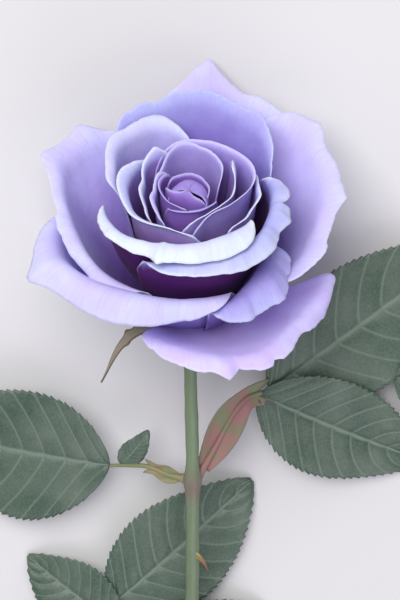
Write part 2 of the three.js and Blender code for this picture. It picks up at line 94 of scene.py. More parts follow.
def add_node(material, kind, settings=None, links=None):
    """Add a node: settings are its properties or inputs, links feed its inputs."""
    node = material.node_tree.nodes.new(kind)
    for key, value in (settings or {}).items():
        if isinstance(key, str) and hasattr(node, key):
            setattr(node, key, value)
        else:
            node.inputs[key].default_value = value
    for key, source in (links or {}).items():
        material.node_tree.links.new(source, node.inputs[key])
    return node


def new_material(name):
    """A material with an empty node tree."""
    material = bpy.data.materials.new(name)
    material.use_nodes = True
    material.node_tree.nodes.clear()
    return material


def surface(material, shader):
    """End the material in this shader."""
    add_node(material, "ShaderNodeOutputMaterial", links={"Surface": shader})
    return material


def finished(bm, name, finishes, turn_by=None):
    """Put a mesh in its place in metres, as a named object at the origin."""
    if turn_by is not None:
        bmesh.ops.transform(bm, matrix=turn_by, verts=bm.verts)
    bmesh.ops.scale(bm, vec=(MM, MM, MM), verts=bm.verts)
    mesh = bpy.data.meshes.new(name)
    bm.to_mesh(mesh)
    bm.free()
    mesh.polygons.foreach_set("use_smooth", [True] * len(mesh.polygons))
    for material in finishes:
        mesh.materials.append(material)
    piece = bpy.data.objects.new(name, mesh)
    bpy.context.scene.collection.objects.link(piece)
    return piece


# matt white laminate: even, a little cool
table_finish = new_material("matt_laminate")
table_shader = add_node(
    table_finish,
    "ShaderNodeBsdfPrincipled",
    {"Base Color": linear("#cecdd0"), "Roughness": 0.8, "Specular IOR Level": 0.2},
)
surface(table_finish, table_shader.outputs[0])
FLOOR_HALF = 3000
floor_mesh = bmesh.new()
bmesh.ops.create_grid(floor_mesh, x_segments=1, y_segments=1, size=FLOOR_HALF)
floor = finished(floor_mesh, "floor", (table_finish,))


LIT_PLACE = Vector((0, 0.08, 0.05))


def soft_light(name, size, watts, away, colour):
    """A square light, size metres wide, that stands away from the rose and faces it."""
    data = bpy.data.lights.new(name, "AREA")
    data.size = size
    data.energy = watts
    data.color = linear(colour)[:3]
    light = bpy.data.objects.new(name, data)
    light.location = LIT_PLACE + Vector(away)
    light.rotation_euler = Vector(away).to_track_quat("Z", "Y").to_euler()
    bpy.context.scene.collection.objects.link(light)
    return light


soft_light("key_light", 1.1, 24, (-0.35, 0.8, 1.25), "#fffdf8")
soft_light("side_light", 1.4, 10, (0.5, -1.2, 1.1), "#f6f5ff")
world = bpy.data.worlds.new("pale_room")
world.use_nodes = True
walls = world.node_tree.nodes["Background"]
walls.inputs["Color"].default_value = linear("#f1f1f8")
walls.inputs["Strength"].default_value = 0.56
bpy.context.scene.world = world


# ---- Petals of the heart
# The innermost petals of the bloom: thin, velvety, wound round each other like a bud,
# and painted deep lilac as shade, since little light reaches them. Each grows from a
# narrow claw on the hip and hides the stamens.
PETAL_SKIN = 0.32
CREST_SHARE = 0.8
WALL_STEPS = 60
LIP_STEPS = 40
CORNER = 0.15
CLAW_SHARE = 0.16
# how far the wall's curve is led by its slope at the crest, and where the lip is turned
CREST_PULL = 0.4
LIP_TURNED = 0.85
NICK_SHARPNESS = 1.3
# uneven waves of the surface, full on petals wider than RIPPLE_RADIUS
RIPPLE = 0.9
RIPPLE_RADIUS = 25
RIPPLE_OUT = 0.7
RIPPLE_UP = 0.45
petal_count = 0


def smooth_step(t):
    """0 below 0, 1 above 1, and a soft rise between."""
    x = min(max(t, 0.0), 1.0)
    return x * x * (3 - 2 * x)


def across(values, u):
    """One value, or one that changes smoothly from u = -1 to u = 1."""
    if not isinstance(values, tuple):
        return values
    n = len(values) - 1
    if n == 2:
        left, middle, right = values
        return middle + (right - left) / 2 * u + ((left + right) / 2 - middle) * u * u
    x = (u + 1) / 2 * n
    i = min(int(x), n - 1)
    f = x - i
    b, c = values[i], values[i + 1]
    a = values[i - 1] if i > 0 else 2 * b - c
    d = values[i + 2] if i + 2 <= n else 2 * c - b
    return b + 0.5 * f * (c - a + f * (2 * a - 5 * b + 4 * c - d + f * (3 * (b - c) + d - a)))


def petal_edge(u, nicks, frill):
    """How far the edge of a petal stands past its even outline, in mm.

    nicks are points, or notches where negative: the place from -1 to 1, the height and
    the width. frill is the depth, count and phase of its small waves.
    """
    depth, count, phase = frill
    extra = sum(h * math.exp(-((abs(u - at) / w) ** NICK_SHARPNESS)) for at, h, w in nicks)
    wave = math.sin(count * u + phase) + 0.6 * math.sin(2.3 * count * u + 2.1 * phase)
    wave += 1.2 * noise.noise(Vector((1.9 * count * u, 5 * phase, count)))
    return extra + depth * wave


def petal_profile(u, crest_radius, crest_height, lean, start, lip, rim, r0, z0, belly, extra):
    """Radius, height and length along the petal from its claw to its edge at u."""
    radius, height = across(crest_radius, u), across(crest_height, u)
    t0, t1 = math.radians(start), math.radians(across(lean, u))
    t2 = math.radians(across(rim, u))
    chord = math.hypot(radius - r0, height - z0)
    p1 = (r0 + belly * chord * math.cos(t0), z0 + belly * chord * math.sin(t0))
    pull = CREST_PULL * chord
    p2 = (radius - pull * math.cos(t1), height - pull * math.sin(t1))
    points = []
    for k in range(WALL_STEPS + 1):
        t = k / WALL_STEPS
        w = ((1 - t) ** 3, 3 * (1 - t) ** 2 * t, 3 * (1 - t) * t * t, t**3)
        points.append(
            [
                w[0] * r0 + w[1] * p1[0] + w[2] * p2[0] + w[3] * radius,
                w[0] * z0 + w[1] * p1[1] + w[2] * p2[1] + w[3] * height,
                0.0,
            ]
        )
    length = max(across(lip, u) + extra, 0.3)
    r, z = radius, height
    for k in range(LIP_STEPS):
        slope = t1 + (t2 - t1) * smooth_step((k + 0.5) / LIP_STEPS / LIP_TURNED)
        r += math.cos(slope) * length / LIP_STEPS
        z += math.sin(slope) * length / LIP_STEPS
        points.append([r, z, 0.0])
    for p, q in zip(points, points[1:]):
        q[2] = p[2] + math.hypot(q[0] - p[0], q[1] - p[1])
    return points


def grow_petal(
    name,
    finish,
    facing,
    spread,
    crest_radius,
    crest_height,
    lean,
    start,
    lip,
    rim,
    r0,
    z0,
    flat=0,
    belly=0.4,
    nicks=(),
    frill=(0.25, 8, 0),
    wave=(0.5, 3, 0),
    cells=(48, 40),
):
    """A petal: a grid bent to a strip of a cup whose edge rolls over past its crest.

    facing is its direction round the bloom and spread the angle to each side of it.
    crest_radius, crest_height and lean place the crest and give its slope, start is the
    slope at the claw, and r0 and z0 place the claw. lip is the length past the crest and
    rim the slope it rolls to. A tuple runs from the left side to the right. flat moves
    the centre of its curve away behind it, belly fills out its wall, and wave is the
    height, count and phase of the waves of its upper part.
    Its UV map's Y is CREST_SHARE at the crest, and its attribute to_edge is in mm.
    """
    global petal_count
    petal_count += 1
    nu, nv = cells
    bm = bmesh.new()
    uv = bm.loops.layers.uv.new("petal")
    to_edge = bm.verts.layers.float.new("to_edge")
    bmesh.ops.create_grid(bm, x_segments=nu, y_segments=nv, size=1, calc_uvs=True)
    columns = []
    for i in range(nu + 1):
        u = -1 + 2 * i / nu
        extra = petal_edge(u, nicks, frill)
        profile = petal_profile(
            u, crest_radius, crest_height, lean, start, lip, rim, r0, z0, belly, extra
        )
        length = profile[-1][2] * (1 - CORNER * abs(u) ** 8)
        crest = profile[WALL_STEPS][2]
        column, k = [], 1
        for j in range(nv + 1):
            s = length * j / nv
            while k < len(profile) - 1 and profile[k][2] < s:
                k += 1
            p, q = profile[k - 1], profile[k]
            f = (s - p[2]) / max(q[2] - p[2], 1e-9)
            if s < crest:
                share = CREST_SHARE * s / crest
            else:
                past = (s - crest) / max(length - crest, 1e-6)
                share = CREST_SHARE + (1 - CREST_SHARE) * past
            r, z = p[0] + (q[0] - p[0]) * f, p[1] + (q[1] - p[1]) * f
            column.append((r, z, share, length - s))
        columns.append(column)
    for face in bm.faces:
        for loop in face.loops:
            i, j = loop[uv].uv
            loop[uv].uv.y = columns[round(i * nu)][round(j * nv)][2]
    middle, reach = math.radians(facing), math.radians(spread)
    for vert in bm.verts:
        u, v = vert.co.x, (vert.co.y + 1) / 2
        r, z, _, left = columns[round((u + 1) / 2 * nu)][round(v * nv)]
        full = across(crest_radius, u)
        vert[to_edge] = min(left, (1 - abs(u)) * reach * full + 0.1)
        ripple = wave[0] * math.sin(wave[1] * math.pi * u + wave[2]) * v**5
        seed = Vector((u * 3.1 + petal_count * 7.3, v * 2.7, petal_count * 3.9))
        ripple += RIPPLE * noise.noise(seed) * v * v * min(1.0, full / RIPPLE_RADIUS)
        r += RIPPLE_OUT * ripple
        z += RIPPLE_UP * ripple
        widen = CLAW_SHARE + (1 - CLAW_SHARE) * math.sin(math.pi * min(v, 0.5))
        angle = middle + reach * u * widen
        vert.co = (
            -flat * math.sin(middle) + (r + flat) * math.sin(angle),
            flat * math.cos(middle) - (r + flat) * math.cos(angle),
            z,
        )
    petal = finished(bm, f"rose_{name}", (finish,), bloom_place)
    skin = petal.modifiers.new("skin", "SOLIDIFY")
    skin.thickness = PETAL_SKIN * MM
    skin.offset = 0
    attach(petal, "root")
    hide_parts(name)
    return petal


SOFT_FADE = {"interpolation_type": "SMOOTHSTEP", "From Min": 0.0, "To Max": 0.0}


def petal_finish(name, stops, rim, vein, side_light_share=0.0):
    """Rose petal: velvety skin, thin enough for light to pass, deeper towards the claw:
    partly its own colour and partly painted shade of the crevices.

    stops are colours along the petal and rim the colour of its thin edge, paler and with a
    painted highlight. The share given last is how far the colours of the upper edge run
    down the sides, as painted light where the sides turn out to face the lamp. Fine veins
    fan out to the edge, about 0.6 mm apart and 8 mm long where the petal is widest.
    """
    material = new_material(name)
    uv = add_node(material, "ShaderNodeUVMap", {"uv_map": "petal"})
    run = add_node(material, "ShaderNodeSeparateXYZ", links={0: uv.outputs[0]})
    # clouds of deeper colour about 9 mm across shift the colours along the petal
    where = add_node(material, "ShaderNodeTexCoord")
    clouds = add_node(
        material,
        "ShaderNodeTexNoise",
        {"Scale": 110.0, "Detail": 3.0},
        {"Vector": where.outputs["Object"]},
    )
    shift = add_node(
        material,
        "ShaderNodeMapRange",
        {"From Min": 0.3, "From Max": 0.7, "To Min": -0.03, "To Max": 0.03},
        {"Value": clouds.outputs[0]},
    )
    centred = add_node(
        material,
        "ShaderNodeMath",
        {"operation": "MULTIPLY_ADD", 1: 2.0, 2: -1.0},
        {0: run.outputs["X"]},
    )
    outward = add_node(
        material,
        "ShaderNodeMath",
        {"operation": "MULTIPLY"},
        {0: centred.outputs[0], 1: centred.outputs[0]},
    )
    # painted light: the colours of the upper edge run down the sides, where they turn out to face
    # the lamp
    sideways = add_node(
        material,
        "ShaderNodeMath",
        {"operation": "MULTIPLY", 1: side_light_share},
        {0: outward.outputs[0]},
    )
    furthest = add_node(
        material,
        "ShaderNodeMath",
        {"operation": "MAXIMUM"},
        {0: run.outputs["Y"], 1: sideways.outputs[0]},
    )
    shifted = add_node(
        material,
        "ShaderNodeMath",
        {"operation": "ADD"},
        {0: furthest.outputs[0], 1: shift.outputs[0]},
    )
    # colours along the petal, darkest at the claw: partly its own colour, partly painted shade of
    # the crevices
    ramp = add_node(material, "ShaderNodeValToRGB", links={0: shifted.outputs[0]})
    elements = ramp.color_ramp.elements
    for k, (position, colour) in enumerate(stops):
        element = elements[k] if k < 2 else elements.new(position)
        element.position, element.color = position, linear(colour)
    # a pinker blush in patches about 15 mm across
    patches = add_node(
        material,
        "ShaderNodeTexNoise",
        {"Scale": 65.0, "Detail": 2.0},
        {"Vector": where.outputs["Object"]},
    )
    blush_mask = add_node(
        material,
        "ShaderNodeMapRange",
        {"From Min": 0.42, "From Max": 0.68, "To Min": 0.0, "To Max": 0.4},
        {"Value": patches.outputs[0]},
    )
    blush = add_node(
        material,
        "ShaderNodeMixRGB",
        {"blend_type": "MULTIPLY", "Color2": linear("#f4d8f2")},
        {"Fac": blush_mask.outputs[0], "Color1": ramp.outputs[0]},
    )
    # a rim about 1.2 mm wide, only round the upper part: a paler edge with a painted highlight
    edge = add_node(material, "ShaderNodeAttribute", {"attribute_name": "to_edge"})
    rim_mask = add_node(
        material,
        "ShaderNodeMapRange",
        {**SOFT_FADE, "From Max": 1.2, "To Min": 0.7},
        {"Value": edge.outputs["Fac"]},
    )
    free = add_node(
        material,
        "ShaderNodeMapRange",
        {"From Min": 0.7, "From Max": 0.84, "To Min": 0.0, "To Max": 1.0},
        {"Value": run.outputs["Y"]},
    )
    rim_share = add_node(
        material,
        "ShaderNodeMath",
        {"operation": "MULTIPLY"},
        {0: rim_mask.outputs[0], 1: free.outputs[0]},
    )
    edged = add_node(
        material,
        "ShaderNodeMixRGB",
        {"Color2": linear(rim)},
        {"Fac": rim_share.outputs[0], "Color1": blush.outputs[0]},
    )
    spread = add_node(
        material, "ShaderNodeMapping", {"Scale": (110, 7, 1)}, {"Vector": uv.outputs[0]}
    )
    veins = add_node(
        material,
        "ShaderNodeTexNoise",
        {"Scale": 1.0, "Detail": 5.0, "Roughness": 0.65, "Distortion": 0.6},
        {"Vector": spread.outputs[0]},
    )
    vein_mask = add_node(
        material,
        "ShaderNodeMapRange",
        {"From Min": 0.45, "From Max": 0.75, "To Min": 0.0, "To Max": 0.22},
        {"Value": veins.outputs[0]},
    )
    vein_share = add_node(
        material,
        "ShaderNodeMath",
        {"operation": "MULTIPLY"},
        {0: vein_mask.outputs[0], 1: free.outputs[0]},
    )
    veined = add_node(
        material,
        "ShaderNodeMixRGB",
        {"Color2": linear(vein)},
        {"Fac": vein_share.outputs[0], "Color1": edged.outputs[0]},
    )
    # soft dents of the same size as the clouds, up to about 0.6 mm deep, then the veins
    dents = add_node(
        material,
        "ShaderNodeBump",
        {"Strength": 0.35, "Distance": 0.0016},
        {"Height": clouds.outputs[0]},
    )
    bump = add_node(
        material,
        "ShaderNodeBump",
        {"Strength": 0.2, "Distance": 0.0002},
        {"Height": veins.outputs[0], "Normal": dents.outputs[0]},
    )
    skin = add_node(
        material,
        "ShaderNodeBsdfPrincipled",
        {
            "Roughness": 0.62,
            "Specular IOR Level": 0.2,
            "Sheen Weight": 0.05,
            "Sheen Roughness": 0.5,
        },
        {"Base Color": veined.outputs[0], "Normal": bump.outputs[0]},
    )
    through = add_node(
        material,
        "ShaderNodeBsdfTranslucent",
        links={"Color": veined.outputs[0], "Normal": bump.outputs[0]},
    )
    both = add_node(
        material,
        "ShaderNodeMixShader",
        {"Fac": 0.22},
        {1: skin.outputs[0], 2: through.outputs[0]},
    )
    return surface(material, both.outputs[0])


# deep lilac, because little light has reached it
heart_petal = petal_finish(
    "rose_petal_heart",
    ((0.0, "#2c0f3c"), (1.0, "#a999e4"), (0.55, "#7848a6"), (0.8, "#9474ca")),
    "#cdc6f8",
    "#8a6cc6",
)
TIGHT = dict(frill=(0.15, 7, 1.0), wave=(0.2, 3, 0), cells=(40, 36))
grow_petal("petal_centre_1", heart_petal, 165, 100, (4.5, 4.7, 4.5), (47, 48.2, 47), 86,
           80, (7, 9.8, 10.7, 10.3, 8), 184, 1, 4, flat=1.8, **TIGHT)
grow_petal("petal_centre_2", heart_petal, 150, 100, (6, 6, 6.5, 8, 8.4),
           (49, 50.5, 51, 51, 50), 91, 80, 1.2, 60, 1.6, 3.8, **TIGHT)
grow_petal("petal_centre_3", heart_petal, -30, 95, (9.4, 6.2, 3.6, 4.6, 7.2),
           (50, 50, 50, 49.5, 48.5), 93, 80, (1.2, 2.4, 4, 3.2, 1.2), (60, 120, 165, 140, 60),
           1.8, 3.6, **TIGHT)
grow_petal("petal_centre_4", heart_petal, -75, 80, (11.4, 10.4, 7.6, 5.9, 5.8),
           (51, 50, 48.5, 48, 47), 92, 79, 1.5, 30, 2.2, 3.4, **TIGHT)
grow_petal("petal_centre_5", heart_petal, 10, 85, (8.7, 7.3, 6.9, 7.4, 8.8),
           (46, 47.5, 48, 48, 47), 93, 78, 2, 0, 2.6, 3.2, **TIGHT)

# ---- Petals round the heart
# Seven upright petals that overlap in a spiral and cup the heart. Their edges are thin
# and a little paler, with a painted highlight, and one stands up in a point.
# lilac, paler to the edge, and darker towards the claw partly by painted shade
inner_petal = petal_finish(
    "rose_petal_inner",
    ((0.0, "#2c0f3c"), (1.0, "#ccc8fb"), (0.48, "#7a4aa4"), (0.76, "#b3a4ea")),
    "#dcdafc",
    "#9682d6",
)
# the same, with an edge nearly white: a paler edge with a painted highlight
bright_petal = petal_finish(
    "rose_petal_bright_edge",
    ((0.0, "#2c0f3c"), (1.0, "#d4d9fa"), (0.5, "#8050ac"), (0.77, "#b198e0"), (0.88, "#bdbff2")),
    "#f0f6ff",
    "#9d8cdb",
)
grow_petal("petal_inner_back", inner_petal, 178, 112, (16, 17.5, 21.5, 17.5, 16),
           (46, 49.5, 51, 50, 46), 82, 60, 2.5, 70, 3, 3, flat=-7)
grow_petal("petal_inner_left", inner_petal, -92, 62, (12.9, 11.8, 11, 11.6, 13),
           (50, 49.5, 48, 46, 44), 88, 70, 2.5, (60, 60, 20, 20, 40), 3.2, 3)
grow_petal("petal_inner_right", bright_petal, 60, 78, (14.5, 10.5, 11, 14.5, 19.5),
           (46, 47.5, 48.5, 49.5, 52), 87, 68, (2, 2, 2, 2, 7), (50, 50, 50, 60, 250), 3.4,
           3, cells=(64, 48))
grow_petal("petal_inner_pointed", bright_petal, -110, 62, (20.5, 20.5, 15.5, 14.5, 14.5),
           (50, 49, 47.5, 46, 43), 86, 60, 3, 40, 3.8, 2.5, nicks=((-0.65, 2, 0.1),))
grow_petal("petal_inner_arch", inner_petal, 108, 112,
           (15.5, 11.5, 14.5, 21.5, 22.5, 23, 18.5), (46, 48, 49, 50, 51, 51.5, 50), 86, 56,
           2.5, 50, 4, 2.5)
grow_petal("petal_inner_front", bright_petal, -66, 84, (23.5, 20.5, 18.5, 15.5, 18.5),
           (49, 47, 46.5, 46.5, 46), 86, 54, (4, 6, 4, 2.5, 2), (40, 10, 10, 30, 40), 4.2,
           2.5)
grow_petal("petal_inner_far_right", bright_petal, 80, 45, (19, 21, 23.6), (46, 48, 48), 86,
           50, 2.5, 40, 4.4, 2.2)

# ---- Petals whose lips roll over
# Two petals in front with broad lips, and the shoulder petal at the left. Their walls
# stay dark wine purple in the shade of the lips.
# almost white along the lip: pale lilac with a painted highlight where the lip faces the light
lip_petal = petal_finish(
    "rose_petal_pale_lip",
    ((0.0, "#35083a"), (1.0, "#e8f2fb"), (0.75, "#521d6c"), (0.8, "#9089d2"), (0.88, "#d6def8")),
    "#f2f8fd",
    "#b4b0e8",
)
# like the lip above but less pale, bluish lilac along the lip: painted shade, as the upper lip
# shades it
shaded_lip_petal = petal_finish(
    "rose_petal_lip_painted_shade",
    ((0.0, "#35083a"), (1.0, "#d4dafa"), (0.75, "#521d6c"), (0.8, "#8580cb"), (0.88, "#b3b7ee")),
    "#eef4ff",
    "#a09ade",
)
grow_petal("petal_upper_front_lip", lip_petal, -18, 77, (28, 26, 23, 22, 22.5),
           (43, 44.5, 45.5, 46, 47), 87, 45, (6.5, 7, 9.5, 13, 10), (-50, -45, -55, -50, -40),
           4.6, 2.2, nicks=((-0.02, 3.5, 0.05), (-0.46, -1.5, 0.07), (-0.24, 1, 0.06)),
           frill=(0.4, 11, 0.6), cells=(96, 56))
grow_petal("petal_lower_front_lip", shaded_lip_petal, 38, 80, (26, 25, 26, 26, 26),
           (38, 41, 42.5, 45, 47), 84, 38, (4, 9, 12, 10.5, 6), (-10, -40, -50, -40, 0), 5,
           2, nicks=((0.62, -4, 0.03), (0.34, -2, 0.08), (0.45, 1.5, 0.04)),
           frill=(0.5, 10, 2.0), cells=(96, 56))
# pale lilac that stays pale down its sides, painted light where they turn out to the lamp
shoulder_petal = petal_finish(
    "rose_petal_shoulder",
    ((0.0, "#2c0f3c"), (1.0, "#dde2ff"), (0.42, "#7b5ca6"), (0.7, "#b1a6ea"), (0.84, "#cfd0fb")),
    "#e6ebff",
    "#9a8cd8",
    0.8,
)
grow_petal("petal_left_shoulder", shoulder_petal, -140, 44, (27, 34, 33.5, 27.5, 22),
           (47, 49, 49, 47.5, 44), 74, 42, 6, (20, 15, 15, 5, 10), 4.8, 2)

# ---- Outer petals
# The oldest petals, widest and softest: they have opened flat, bent back or hang down,
# and their edges are frilled and drawn out in points.
# full lilac, deeper only near the claw partly by painted shade, its sides painted pale as light
# where they curl out
outer_petal = petal_finish(
    "rose_petal_outer",
    ((0.0, "#41195f"), (1.0, "#d9dafd"), (0.32, "#7d5fb5"), (0.52, "#ab99e4"), (0.7, "#cbc4fb")),
    "#e2e5ff",
    "#a694e2",
    0.85,
)
# deeper blue lilac down in its hollow: painted shade of the hollow, which faces away from the
# light
broad_petal = petal_finish(
    "rose_petal_broad",
    ((0.0, "#2c0f3c"), (1.0, "#bfc5f6"), (0.42, "#6f5199"), (0.7, "#9387d6"), (0.84, "#abaaea")),
    "#d8deff",
    "#8579c6",
    0.75,
)
# purple where the lips above keep it dark, lilac at its edge
shaded_petal = petal_finish(
    "rose_petal_shaded",
    ((0.0, "#2c0f3c"), (1.0, "#c6c8f8"), (0.6, "#6a4a9c"), (0.8, "#8b79c6"), (0.9, "#a9a3e5")),
    "#dce0ff",
    "#8476c4",
    0.7,
)
# pinker lilac, painted paler with little deep colour left: painted light where the rose above
# shades it
drooping_lit_petal = petal_finish(
    "rose_petal_drooping_painted_light",
    ((0.0, "#7a52b0"), (1.0, "#dcd4ff"), (0.12, "#b79fec"), (0.4, "#d6c8fd")),
    "#e6e3ff",
    "#b4a2e8",
    0.8,
)
OUTER = dict(frill=(0.6, 11, 0.4), wave=(0.8, 3, 0.5), cells=(64, 48))
grow_petal("petal_back_broad", broad_petal, 172, 56, (30, 36.5, 40.5, 39.5, 35),
           (43, 49.5, 52.8, 51.3, 47), (75, 66, 62, 62, 66), 30, 6, 35, 5.2, 1.8,
           nicks=((-0.1, 1.5, 0.05),), **OUTER)
grow_petal("petal_outer_left", outer_petal, -92, 64, (47.5, 48, 37.5, 32, 26),
           (38, 36.5, 34.5, 29.5, 26.5), (60, 60, 65, 72, 75), 22, (9, 8, 7, 8, 6),
           (10, 10, -10, -50, -40), 5.6, 1.6, nicks=((-0.74, 5, 0.1), (-0.44, 4, 0.07)),
           **OUTER)
grow_petal("petal_front_rolled", outer_petal, -40, 80, (43.5, 40.5, 30, 25.5, 25.5),
           (27, 27, 26.5, 26, 26.5), (50, 60, 70, 70, 70), 10, (6, 13, 18.5, 11.5, 1),
           (-20, -45, -65, -65, -20), 5.8, 1.5, belly=0.55,
           nicks=((-0.42, 6.5, 0.06), (-0.1, 1.5, 0.06)), **OUTER)
grow_petal("petal_front_hanging", shaded_petal, 48, 36, (28, 27, 25.5, 24.5, 24),
           (22, 24, 26.5, 28, 29), 75, 14, (7, 14, 19, 16, 7), (-60, -60, -56, -50, -40), 6,
           1.4, belly=0.5, **OUTER)
grow_petal("petal_outer_right", outer_petal, 104, 50, (29, 35, 43, 49.5, 48),
           (23, 27, 34, 41, 44), 50, 16, 9, (0, 0, 5, 15, 30), 6.2, 1.3,
           nicks=((0.57, 2, 0.1), (-0.03, 2.5, 0.06)), **OUTER)
grow_petal("petal_outer_back", outer_petal, 176, 44, (51, 49.5, 51.5, 44, 38),
           (40, 42, 44.5, 39, 33), 58, 14, 9, 30, 6.4, 1.2, nicks=((-0.05, 9, 0.14),),
           **OUTER)
grow_petal("petal_under_left", outer_petal, -152, 40, (44, 48, 46), (24, 25, 24), 40, 6,
           6.8, -5, 6.6, 1.1, **OUTER)
grow_petal("petal_drooping", drooping_lit_petal, 32, 62, (28, 32, 38, 37.8, 43.5),
           (12, 11, 10, 10.5, 11.5), 25, 5, (8, 8, 8, 8, 15), (-40, -40, -40, -50, -165),
           6.8, 1, nicks=((-0.25, 3.5, 0.06), (-0.16, -2, 0.02), (0.1, -2.5, 0.03)),
           **OUTER)

# ---- Stem
# The smooth green stalk, filled with pale pith and cut straight across at its foot. It
# swells where a leaf grows, and hard hooked prickles stand on its lower half.
STEM_LENGTH = 230.0
TOP_RADIUS = 2.2
FOOT_RADIUS = 2.9
UPPER_KNOT = 56.0
LOWER_KNOT = 140.0
KNOT_SWELL = 1.0
KNOT_LENGTH = 3.6
PATH_STEPS = 400
SEWN = 0.001


def along_path(points, count):
    """Places at even steps along a smooth curve through the points."""
    fine = [
        Vector([across(axis, 2 * k / PATH_STEPS - 1) for axis in zip(*points)])
        for k in range(PATH_STEPS + 1)
    ]
    run = [0.0]
    for p, q in zip(fine, fine[1:]):
        run.append(run[-1] + (q - p).length)
    places, k = [], 1
    for i in range(count + 1):
        s = run[-1] * i / count
        while k < PATH_STEPS and run[k] < s:
            k += 1
        places.append(fine[k - 1].lerp(fine[k], (s - run[k - 1]) / (run[k] - run[k - 1])))
    return places


def grow_tube(places, radius_at, around=20):
    """A closed tube: a grid rolled up round the places, sewn, and filled at its ends."""
    bm = bmesh.new()
    bm.loops.layers.uv.new("run")
    steps = len(places) - 1
    bmesh.ops.create_grid(bm, x_segments=around, y_segments=steps, size=1, calc_uvs=True)
    for vert in bm.verts:
        angle = math.pi * vert.co.x
        j = round((vert.co.y + 1) / 2 * steps)
        ahead = places[min(j + 1, steps)] - places[max(j - 1, 0)]
        side = ahead.cross(Vector((0, 1, 0))).normalized()
        up = side.cross(ahead).normalized()
        radius = radius_at(j / steps)
        vert.co = places[j] + (side * math.cos(angle) + up * math.sin(angle)) * radius
    bmesh.ops.remove_doubles(bm, verts=bm.verts, dist=SEWN)
    open_edges = [edge for edge in bm.edges if edge.is_boundary]
    ends = bmesh.ops.holes_fill(bm, edges=open_edges)["faces"]
    bmesh.ops.recalc_face_normals(bm, faces=bm.faces)
    return bm, ends


# green bark of a young shoot: smooth and waxy, streaked lengthwise, browner at the knots
stem_bark = new_material("green_bark")
stem_uv = add_node(stem_bark, "ShaderNodeUVMap", {"uv_map": "run"})
stem_run = add_node(stem_bark, "ShaderNodeSeparateXYZ", links={0: stem_uv.outputs[0]})
stem_ramp = add_node(stem_bark, "ShaderNodeValToRGB", links={0: stem_run.outputs["Y"]})
stem_stops = stem_ramp.color_ramp.elements
stem_stops[0].position, stem_stops[0].color = 0.0, linear("#697b60")
stem_stops[1].position, stem_stops[1].color = 1.0, linear("#5a644c")
for at, colour in (
    (UPPER_KNOT / STEM_LENGTH - 0.03, "#697b60"),
    (UPPER_KNOT / STEM_LENGTH + 0.012, "#705f58"),
    (UPPER_KNOT / STEM_LENGTH + 0.05, "#64755c"),
    (LOWER_KNOT / STEM_LENGTH - 0.03, "#626f56"),
    (LOWER_KNOT / STEM_LENGTH + 0.01, "#6b5c50"),
    (LOWER_KNOT / STEM_LENGTH + 0.05, "#5e6b50"),
):
    stem_stop = stem_stops.new(at)
    stem_stop.color = linear(colour)
# streaks about 0.7 mm wide and 15 mm long
stem_stretch = add_node(
    stem_bark, "ShaderNodeMapping", {"Scale": (22, 16, 1)}, {"Vector": stem_uv.outputs[0]}
)
stem_streaks = add_node(
    stem_bark,
    "ShaderNodeTexNoise",
    {"Scale": 1.0, "Detail": 4.0, "Roughness": 0.6},
    {"Vector": stem_stretch.outputs[0]},
)
stem_streak_mask = add_node(
    stem_bark,
    "ShaderNodeMapRange",
    {"From Min": 0.45, "From Max": 0.75, "To Min": 0.0, "To Max": 0.5},
    {"Value": stem_streaks.outputs[0]},
)
stem_colour = add_node(
    stem_bark,
    "ShaderNodeMixRGB",
    {"Color2": linear("#73846a")},
    {"Fac": stem_streak_mask.outputs[0], "Color1": stem_ramp.outputs[0]},
)
stem_bump = add_node(
    stem_bark,
    "ShaderNodeBump",
    {"Strength": 0.3, "Distance": 0.0002},
    {"Height": stem_streaks.outputs[0]},
)
stem_shader = add_node(
    stem_bark,
    "ShaderNodeBsdfPrincipled",
    {"Roughness": 0.42, "Specular IOR Level": 0.45},
    {"Base Color": stem_colour.outputs[0], "Normal": stem_bump.outputs[0]},
)
surface(stem_bark, stem_shader.outputs[0])

# fresh cut shoot: a pale moist pith inside a thin ring of green wood
cut_pith = new_material("cut_pith")
pith_where = add_node(cut_pith, "ShaderNodeTexCoord")
pith_noise = add_node(
    cut_pith,
    "ShaderNodeTexNoise",
    {"Scale": 1600.0, "Detail": 3.0},
    {"Vector": pith_where.outputs["Object"]},
)
pith_ramp = add_node(cut_pith, "ShaderNodeValToRGB", links={0: pith_noise.outputs[0]})
pith_ramp.color_ramp.elements[0].color = linear("#a9b787")
pith_ramp.color_ramp.elements[1].color = linear("#e3e4c4")
pith_shader = add_node(
    cut_pith,
    "ShaderNodeBsdfPrincipled",
    {"Roughness": 0.55},
    {"Base Color": pith_ramp.outputs[0]},
)
surface(cut_pith, pith_shader.outputs[0])

STEM_POINTS = (
    (0, 0, 0),
    (0, 1.2, -7),
    (0, 1.4, -20),
    (0.6, 1, -50),
    (0.4, 0.4, -100),
    (-0.6, 0, -160),
    (0, 0, -STEM_LENGTH),
)


def stem_radius(t):
    """The stem thickens to its foot, swells at its knots and is slightly uneven."""
    depth = t * STEM_LENGTH
    radius = TOP_RADIUS + (FOOT_RADIUS - TOP_RADIUS) * t
    for knot in (UPPER_KNOT, LOWER_KNOT):
        radius += KNOT_SWELL * math.exp(-(((depth - knot - 1) / KNOT_LENGTH) ** 2))
    # it widens a little into the hip too
    radius += 0.45 * math.exp(-((depth / 2.5) ** 2))
    return radius + 0.07 * math.sin(depth * 0.23) + 0.05 * math.sin(depth * 0.61 + 1)


GREEN_WOOD = 0.55
stem_mesh, stem_ends = grow_tube(along_path(STEM_POINTS, 260), stem_radius, 28)
for end in bmesh.ops.inset_region(stem_mesh, faces=stem_ends, thickness=GREEN_WOOD)["faces"]:
    end.smooth = False
for end in stem_ends:
    end.material_index = 1
stem = finished(stem_mesh, "rose_stem", (stem_bark, cut_pith), stem_place)
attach(stem, "root")
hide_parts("stem")

